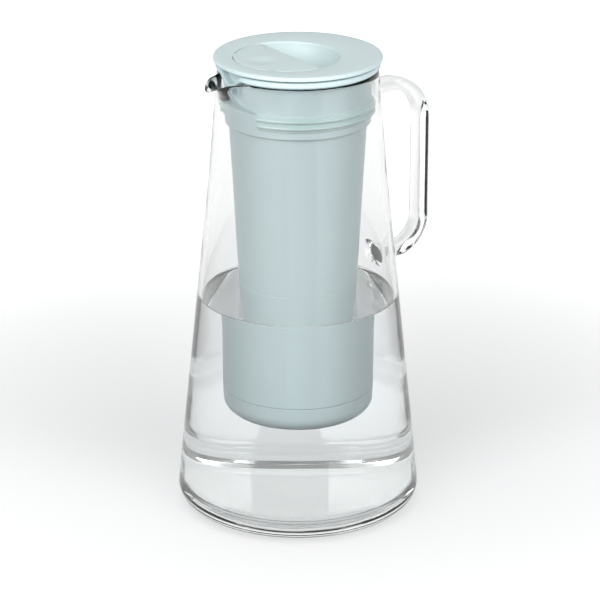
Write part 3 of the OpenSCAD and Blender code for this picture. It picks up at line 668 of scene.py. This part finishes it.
# Base cap: the screw-on bottom of the filter cup, with a deep rounded edge, a spigot for its
# O-ring, six ribs that carry the carbon cartridge, and drilled outlets.
CAP_Z, CAP_EDGE, CAP_WALL, CAP_FLOOR = 54.5, 9, 1.8, 56.7
CAP_SPIGOT_R, CAP_SPIGOT_WALL, CAP_SPIGOT_TOP = 30.4, 1.8, 79
RIB_TOP_Z, RIB_FROM_R, RIB_LONG, RIB_WIDE, RIBS = 62, 14, 8, 2, 6
OUTLET_R, OUTLET_PITCH, OUTLET_RINGS = 1.5, 4.6, 3
cap_r = CUP_LOW_R - SEAM_SOFT
edge_c = cap_r - CAP_EDGE
cap_outline = (
    [(0, CAP_Z)] + arc(edge_c, CAP_Z + CAP_EDGE, CAP_EDGE, -90, 0, 20)
    + [(CUP_LOW_R, SEAM_Z - 0.3 - SEAM_SOFT), (cap_r, SEAM_Z - 0.3),
       (CAP_SPIGOT_R, SEAM_Z - 0.3)]
    + groove(CAP_SPIGOT_R, (SEAM_Z + CAP_SPIGOT_TOP) / 2, 0.8, 1.4)
    + [(CAP_SPIGOT_R, CAP_SPIGOT_TOP - 0.5), (CAP_SPIGOT_R - 0.5, CAP_SPIGOT_TOP),
       (CAP_SPIGOT_R - CAP_SPIGOT_WALL, CAP_SPIGOT_TOP),
       (CAP_SPIGOT_R - CAP_SPIGOT_WALL, SEAM_Z - 2), (cap_r - CAP_WALL, CAP_Z + CAP_EDGE)]
    + arc(edge_c, CAP_Z + CAP_EDGE, CAP_EDGE - CAP_WALL, 0, -75, 12)
    + [(CUP_LOW_R - CAP_EDGE - 3, CAP_FLOOR), (0, CAP_FLOOR)]
)
cap = turned("base_cap_moulding", cap_outline, PLASTIC_STEPS)


def ring_places(rings, pitch):
    """The middle of a disc and its rings of six, twelve and more places."""
    places = [(0.0, 0.0)]
    for ring in range(1, rings + 1):
        for i in range(6 * ring):
            turn = math.radians(60 * i / ring)
            places.append((ring * pitch * math.cos(turn), ring * pitch * math.sin(turn)))
    return places


def joined(name, parts):
    """Several separate closed pieces made one object."""
    bpy.ops.object.select_all(action="DESELECT")
    for part in parts:
        part.select_set(True)
    bpy.context.view_layer.objects.active = parts[0]
    bpy.ops.object.join()
    parts[0].name = name
    parts[0].select_set(False)
    return parts[0]


def drill(piece, places, r, from_z, to_z):
    """Drill a pattern of upright holes through a piece."""
    bits = [rod("bit", r, (x, y, from_z), "z", to_z - from_z, 24) for x, y in places]
    combine(piece, joined("bits", bits), "DIFFERENCE")


rib_half = RIB_WIDE / 2
for i in range(RIBS):
    rib = prism("rib", [(-rib_half, CAP_Z + 1), (rib_half, CAP_Z + 1),
                        (rib_half, RIB_TOP_Z), (-rib_half, RIB_TOP_Z)],
                RIB_FROM_R, RIB_FROM_R + RIB_LONG)
    turn = math.radians(15 + 360 * i / RIBS)
    for vert in rib.data.vertices:
        vert.co = Vector((vert.co.x * math.cos(turn) - vert.co.y * math.sin(turn),
                          vert.co.x * math.sin(turn) + vert.co.y * math.cos(turn), vert.co.z))
    combine(cap, rib, "UNION")
drill(cap, ring_places(OUTLET_RINGS, OUTLET_PITCH), OUTLET_R, CAP_Z - 1, CAP_FLOOR + 1)
cap.data.materials.append(aqua)
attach(cap, "cap")
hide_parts("base_cap")
dress("cap_seal", rubber)

# Lid: a round plate with a soft edge, an off-centre opening, a bowl-shaped finger scoop that
# covers its rear half, and a plug with an O-ring that seats in the collar.
LID_R, LID_Z, LID_TOP, LID_EDGE = 47.5, 266.7, 269, 1.2
HOLE_R, HOLE_X, PLUG_Z, PLUG_R, PLUG_IN = 30, -7.8, 257.4, 39.05, 37.2
SHOULDER_R, SHOULDER_Z = 41.25, 265.8
SCOOP_DEPTH, SCOOP_WALL, SCOOP_FROM_X, SCOOP_LIP = 12, 1.8, -10.8, 0.9
FLAP_EDGE_X, HINGE_X, HINGE_Z, BOSS_R, PIN_R = -5.1, -30, 267.5, 2.4, 0.9
HOLE_SOFT, BARREL_R, BARREL_FROM, BARREL_TO = 0.25, 1.95, 17.6, 22.6
LID_LOW_EDGE, PIN_BORE_HALF, BARREL_SUNK = 0.35, 23, 0.1
LID_TINT = (0.575, 0.69, 0.70, 1)


def pick_edges(piece, test):
    """In edit mode, select the edges whose two ends pass a test of x, y and z in millimetres."""
    mesh = bmesh.from_edit_mesh(piece.data)
    for item in (*mesh.faces, *mesh.edges, *mesh.verts):
        item.select = False
    for edge in mesh.edges:
        if all(test(*(c / MM for c in vert.co)) for vert in edge.verts):
            edge.select_set(True)
    bmesh.update_edit_mesh(piece.data)


def hole_reach(x, y):
    """Distance of a point from the middle of the lid's opening."""
    return math.hypot(x - HOLE_X, y)


bpy.ops.mesh.primitive_circle_add(vertices=PLASTIC_STEPS, radius=LID_R * MM)
lid = bpy.context.object
lid.name = "lid_disc"
bpy.ops.object.mode_set(mode="EDIT")
bpy.ops.mesh.primitive_circle_add(vertices=PLASTIC_STEPS, radius=HOLE_R * MM,
                                  location=(HOLE_X * MM, 0, 0))
bpy.ops.mesh.select_all(action="SELECT")
bpy.ops.transform.translate(value=(0, 0, LID_TOP * MM))
bpy.ops.mesh.bridge_edge_loops()
bpy.ops.mesh.select_all(action="SELECT")
bpy.ops.mesh.extrude_region_move(TRANSFORM_OT_translate={"value": (0, 0, (LID_Z - LID_TOP) * MM)})
bpy.ops.mesh.select_all(action="SELECT")
bpy.ops.mesh.normals_make_consistent(inside=False)
bpy.ops.mesh.select_mode(type="EDGE")
pick_edges(lid, lambda x, y, z: math.hypot(x, y) > LID_R - 0.1 and z > LID_TOP - 0.01)
bpy.ops.mesh.bevel(offset=LID_EDGE * MM, segments=6, affect="EDGES")
pick_edges(lid, lambda x, y, z: math.hypot(x, y) > LID_R - 0.1 and z < LID_Z + 0.01)
bpy.ops.mesh.bevel(offset=LID_LOW_EDGE * MM, segments=3, affect="EDGES")
pick_edges(lid, lambda x, y, z: hole_reach(x, y) < HOLE_R + 0.01 and z > LID_TOP - 0.01
           and x > FLAP_EDGE_X - 0.5)
bpy.ops.mesh.bevel(offset=SCOOP_LIP * MM, segments=4, affect="EDGES")
pick_edges(lid, lambda x, y, z: hole_reach(x, y) < HOLE_R + 0.01 and z > LID_TOP - 0.01
           and x < FLAP_EDGE_X + 0.5)
bpy.ops.mesh.bevel(offset=HOLE_SOFT * MM, segments=3, affect="EDGES")
bpy.ops.mesh.select_mode(type="VERT")
bpy.ops.object.mode_set(mode="OBJECT")
lid.select_set(False)

ring_z = LID_Z - (LID_Z - PLUG_Z) / 2
plug = turned("plug", [(PLUG_IN, LID_Z + 0.8), (PLUG_IN, PLUG_Z + 0.3), (PLUG_IN + 0.3, PLUG_Z),
                       (PLUG_R - 0.5, PLUG_Z), (PLUG_R, PLUG_Z + 0.5)]
              + groove(PLUG_R, ring_z, 0.85, 1.5)
              + [(PLUG_R, SHOULDER_Z), (SHOULDER_R, SHOULDER_Z), (SHOULDER_R, LID_Z + 0.8)],
              PLASTIC_STEPS, closed=True)
boss = rod("boss", BOSS_R, (HINGE_X, -PLUG_IN, HINGE_Z), "y", 2 * PLUG_IN)
combine(boss, rod("boss_round", PLUG_R - 0.3, (0, 0, 250), "z", LID_TOP - 0.2 - 250,
                  PLASTIC_STEPS), "INTERSECT")
combine(plug, boss, "UNION")
combine(plug, rod("opening", HOLE_R + 0.02, (HOLE_X, 0, 250), "z", 30, PLASTIC_STEPS),
        "DIFFERENCE")
combine(lid, plug, "UNION")
bowl_c = HOLE_R - SCOOP_DEPTH + 0.15
scoop = turned("scoop", [(0, LID_TOP - SCOOP_DEPTH - SCOOP_WALL)]
               + arc(bowl_c, LID_TOP, SCOOP_DEPTH + SCOOP_WALL, -90, -6, 16)
               + arc(bowl_c, LID_TOP, SCOOP_DEPTH, -6, -90, 24) + [(0, LID_TOP - SCOOP_DEPTH)],
               PLASTIC_STEPS)
take_up(scoop)
bpy.ops.object.mode_set(mode="EDIT")
bpy.ops.mesh.select_all(action="SELECT")
bpy.ops.transform.translate(value=(HOLE_X * MM, 0, 0))
bpy.ops.mesh.bisect(plane_co=(SCOOP_FROM_X * MM, 0, 0), plane_no=(1, 0, 0), clear_inner=True,
                    use_fill=True)
bpy.ops.mesh.select_all(action="SELECT")
bpy.ops.mesh.normals_make_consistent(inside=False)
bpy.ops.object.mode_set(mode="OBJECT")
scoop.select_set(False)
combine(lid, scoop, "UNION")


def hinge_piece(name, r, near, far, sunk):
    """A round length of the hinge, cut level a little below the lid's top."""
    piece = rod(name, r, (HINGE_X, near, HINGE_Z), "y", far - near)
    level = LID_TOP - sunk
    combine(piece, prism("trim", [(near - 1, level), (far + 1, level), (far + 1, LID_TOP + 5),
                                  (near - 1, LID_TOP + 5)], HINGE_X - 5, HINGE_X + 5),
            "DIFFERENCE")
    return piece


for side in (-1, 1):
    near, far = sorted((side * BARREL_FROM, side * BARREL_TO))
    combine(lid, hinge_piece("barrel", BARREL_R, near, far, BARREL_SUNK), "UNION")
combine(lid, rod("pin_bore", PIN_R, (HINGE_X, -PIN_BORE_HALF, HINGE_Z), "y", 2 * PIN_BORE_HALF,
                 32), "DIFFERENCE")
lid_look = skin("lid_plastic", moulded_skin, {"Color": LID_TINT, "Sheen": 0.42}, GRAIN_BUMP)
lid.data.materials.append(lid_look)
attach(lid, "lid")
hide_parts("lid_plate")
dress("lid_seal", silicone)

# Hinge pins: two short ground steel pins pressed into the lid, on which the flap turns.
steel_skin, taken, given, where = group_tree(
    "ground_steel",
    [("Color", (0.62, 0.62, 0.61, 1))])
along = steel_skin.nodes.new("ShaderNodeMapping")
along.inputs["Scale"].default_value = (4000, 200, 4000)
steel_skin.links.new(where, along.inputs["Vector"])
scratch = noise(steel_skin, along.outputs[0], 1, 2)
worn = steel_skin.nodes.new("ShaderNodeVectorMath")
worn.operation = "SCALE"
steel_skin.links.new(taken.outputs["Color"], worn.inputs[0])
steel_skin.links.new(sums(steel_skin, "ADD", scratch, 0.5), worn.inputs["Scale"])
steel_skin.links.new(worn.outputs[0], given.inputs["Color"])
steel_skin.links.new(sums(steel_skin, "MULTIPLY", scratch, 0.5), given.inputs["Roughness"])
steel_skin.links.new(scratch, given.inputs["Height"])
dress("hinge_pins", skin("pin_steel", steel_skin, {}, 0.01, Metallic=1.0))

# Flap: the D-shaped front half of the opening's cover, flush with the lid, with a shallow thumb
# dimple. It turns on two knuckles, and its short tail dips as it opens.
FLAP_R, FLAP_T, FLAP_SOFT, DIMPLE_X, DIMPLE_R, DIMPLE_DEPTH = 29.5, 2.4, 0.6, -23.8, 10, 1.0
NECK_HALF, NECK_TO_X, KNUCKLE_R, KNUCKLE_FROM = 17.4, -28, 2.0, 9
DIMPLE_RINGS = 14
KNUCKLE_SUNK, BORE_FROM, BORE_TO, BORE_PLAY = 0.3, 10.7, 25, 0.05


def dimple_dip(share):
    """Depth of the dimple at a share of its radius, soft at its edge."""
    return DIMPLE_DEPTH * (0.5 + 0.5 * math.cos(math.pi * share)) if share < 1 else 0.0


bpy.ops.mesh.primitive_circle_add(vertices=PLASTIC_STEPS, radius=FLAP_R * MM, fill_type="NGON",
                                  location=(HOLE_X * MM, 0, LID_TOP * MM))
flap = bpy.context.object
flap.name = "flap_door"
bpy.ops.object.transform_apply(location=True)
bpy.ops.object.mode_set(mode="EDIT")
bpy.ops.mesh.select_all(action="SELECT")
bpy.ops.mesh.bisect(plane_co=(FLAP_EDGE_X * MM, 0, 0), plane_no=(1, 0, 0), clear_outer=True)
bpy.ops.mesh.select_all(action="SELECT")
bpy.ops.mesh.delete(type="ONLY_FACE")
bpy.ops.mesh.primitive_circle_add(vertices=96, radius=DIMPLE_R * MM,
                                  location=(DIMPLE_X * MM, 0, LID_TOP * MM))
bpy.ops.mesh.select_all(action="SELECT")
bpy.ops.mesh.bridge_edge_loops()
pick_edges(flap, lambda x, y, z: abs(math.hypot(x - DIMPLE_X, y) - DIMPLE_R) < 0.01)
for i in range(1, DIMPLE_RINGS):
    a, b = 1 - (i - 1) / DIMPLE_RINGS, 1 - i / DIMPLE_RINGS
    bpy.ops.mesh.extrude_edges_move(
        TRANSFORM_OT_translate={"value": (0, 0, (dimple_dip(a) - dimple_dip(b)) * MM)})
    bpy.ops.transform.resize(value=(b / a, b / a, 1),
                             center_override=(DIMPLE_X * MM, 0, LID_TOP * MM))
bpy.ops.mesh.edge_face_add()
pick_edges(flap, lambda x, y, z: z > LID_TOP - 0.01
           and (hole_reach(x, y) > FLAP_R - 0.01 or x > FLAP_EDGE_X - 0.01))
bpy.ops.mesh.extrude_edges_move(TRANSFORM_OT_translate={"value": (0, 0, -FLAP_T * MM)})
bpy.ops.mesh.edge_face_add()
bpy.ops.mesh.select_all(action="SELECT")
bpy.ops.mesh.normals_make_consistent(inside=False)
pick_edges(flap, lambda x, y, z: z > LID_TOP - 0.01
           and (hole_reach(x, y) > FLAP_R - 0.01 or x > FLAP_EDGE_X - 0.01))
bpy.ops.mesh.bevel(offset=FLAP_SOFT * MM, segments=3, affect="EDGES")
bpy.ops.object.mode_set(mode="OBJECT")
bpy.ops.object.shade_smooth_by_angle(angle=SHARP)
flap.select_set(False)
for side in (-1, 1):
    near, far = sorted((side * NECK_HALF, side * (FLAP_R + 1)))
    notch = prism("notch", [(near, LID_TOP - 5), (far, LID_TOP - 5), (far, LID_TOP + 2),
                            (near, LID_TOP + 2)], HOLE_X - FLAP_R - 3, NECK_TO_X)
    combine(flap, notch, "DIFFERENCE")
    near, far = sorted((side * KNUCKLE_FROM, side * NECK_HALF))
    combine(flap, hinge_piece("knuckle", KNUCKLE_R, near, far, KNUCKLE_SUNK), "UNION")
    near, far = sorted((side * BORE_FROM, side * BORE_TO))
    combine(flap, rod("bore", PIN_R + BORE_PLAY, (HINGE_X, near, HINGE_Z), "y", far - near, 32),
            "DIFFERENCE")
take_up(flap)
bpy.ops.object.modifier_add(type="WEIGHTED_NORMAL")
flap.modifiers[0].keep_sharp = True
bpy.ops.object.modifier_apply(modifier=flap.modifiers[0].name)
flap.select_set(False)
flap.data.materials.append(lid_look)
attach(flap, "flap")
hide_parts("flap")

# Membrane cartridge: a white tube with a slotted inlet cap and a bail to lift it by. Inside, a
# looped bundle of hollow fibres is cast into a plug of resin at the outlet.
white = skin("white_plastic", moulded_skin,
             {"Color": (0.80, 0.82, 0.81, 1), "Sheen": 0.34, "Mottle": 0.03}, 0.01)
dress("membrane_shell", white)
dress("membrane_cap", aqua)
dress("membrane_oring", rubber)
# Fibre bundle: pale strands, with painted shade as a darker colour in the gaps between them.
strands, taken, given, where = group_tree(
    "fibre_bundle",
    [("Color", (0.86, 0.85, 0.79, 1)),
     ("Gap", (0.42, 0.40, 0.35, 1))])
along = strands.nodes.new("ShaderNodeMapping")
along.inputs["Scale"].default_value = (1500, 1500, 60)
strands.links.new(where, along.inputs["Vector"])
fibre = noise(strands, along.outputs[0], 1, 1)
lit = sums(strands, "MULTIPLY", sums(strands, "SUBTRACT", fibre, 0.38), 5)
lit.node.use_clamp = True
mixed = blend(strands, lit, taken.outputs["Gap"], taken.outputs["Color"])
strands.links.new(mixed, given.inputs["Color"])
strands.links.new(sums(strands, "ADD", sums(strands, "MULTIPLY", fibre, 0.3), 0.4),
                  given.inputs["Roughness"])
strands.links.new(fibre, given.inputs["Height"])
dress("membrane_fibres", skin("hollow_fibre", strands, {}, 0.3))
resin, taken, given, where = group_tree(
    "cast_resin",
    [("Color", (0.70, 0.63, 0.42, 1)),
     ("Fibre", (0.88, 0.86, 0.78, 1))])
cells = resin.nodes.new("ShaderNodeTexVoronoi")
cells.inputs["Scale"].default_value = 1400
resin.links.new(where, cells.inputs["Vector"])
dots = sums(resin, "LESS_THAN", cells.outputs["Distance"], 0.32)
mixed = blend(resin, dots, taken.outputs["Color"], taken.outputs["Fibre"])
resin.links.new(mixed, given.inputs["Color"])
resin.links.new(sums(resin, "ADD", sums(resin, "MULTIPLY", dots, 0.3), 0.2),
                given.inputs["Roughness"])
resin.links.new(cells.outputs["Distance"], given.inputs["Height"])
dress("membrane_potting", skin("potting_resin", resin, {}, 0.05))

# Carbon cartridge: a perforated white pot of carbon grains between two felt pads, under a
# perforated lid and a flat rubber gasket.
dress("carbon_shell", white)
dress("carbon_lid", aqua)
dress("carbon_seal", rubber)
grains, taken, given, where = group_tree(
    "carbon_bed",
    [("Color", (0.018, 0.018, 0.02, 1)),
     ("Facet", (0.075, 0.075, 0.08, 1))])
cells = grains.nodes.new("ShaderNodeTexVoronoi")
cells.inputs["Scale"].default_value = 1100
grains.links.new(where, cells.inputs["Vector"])
tone = grains.nodes.new("ShaderNodeSeparateColor")
grains.links.new(cells.outputs["Color"], tone.inputs[0])
mixed = blend(grains, tone.outputs[0], taken.outputs["Color"], taken.outputs["Facet"])
grains.links.new(mixed, given.inputs["Color"])
grains.links.new(sums(grains, "ADD", sums(grains, "MULTIPLY", tone.outputs[1], 0.5), 0.3),
                 given.inputs["Roughness"])
grains.links.new(sums(grains, "SUBTRACT", 1, cells.outputs["Distance"]), given.inputs["Height"])
dress("carbon_media", skin("carbon_grains", grains, {}, 0.5))
wool, taken, given, where = group_tree(
    "pressed_felt",
    [("Color", (0.80, 0.80, 0.76, 1)),
     ("Shade", (0.58, 0.58, 0.54, 1))])
hairs = noise(wool, where, 1800, 6)
mixed = blend(wool, hairs, taken.outputs["Shade"], taken.outputs["Color"])
wool.links.new(mixed, given.inputs["Color"])
wool.links.new(sums(wool, "ADD", sums(wool, "MULTIPLY", hairs, 0.2), 0.75),
               given.inputs["Roughness"])
wool.links.new(hairs, given.inputs["Height"])
felt = skin("felt", wool, {}, 0.3)
dress("carbon_top_pad", felt)
dress("carbon_bottom_pad", felt)
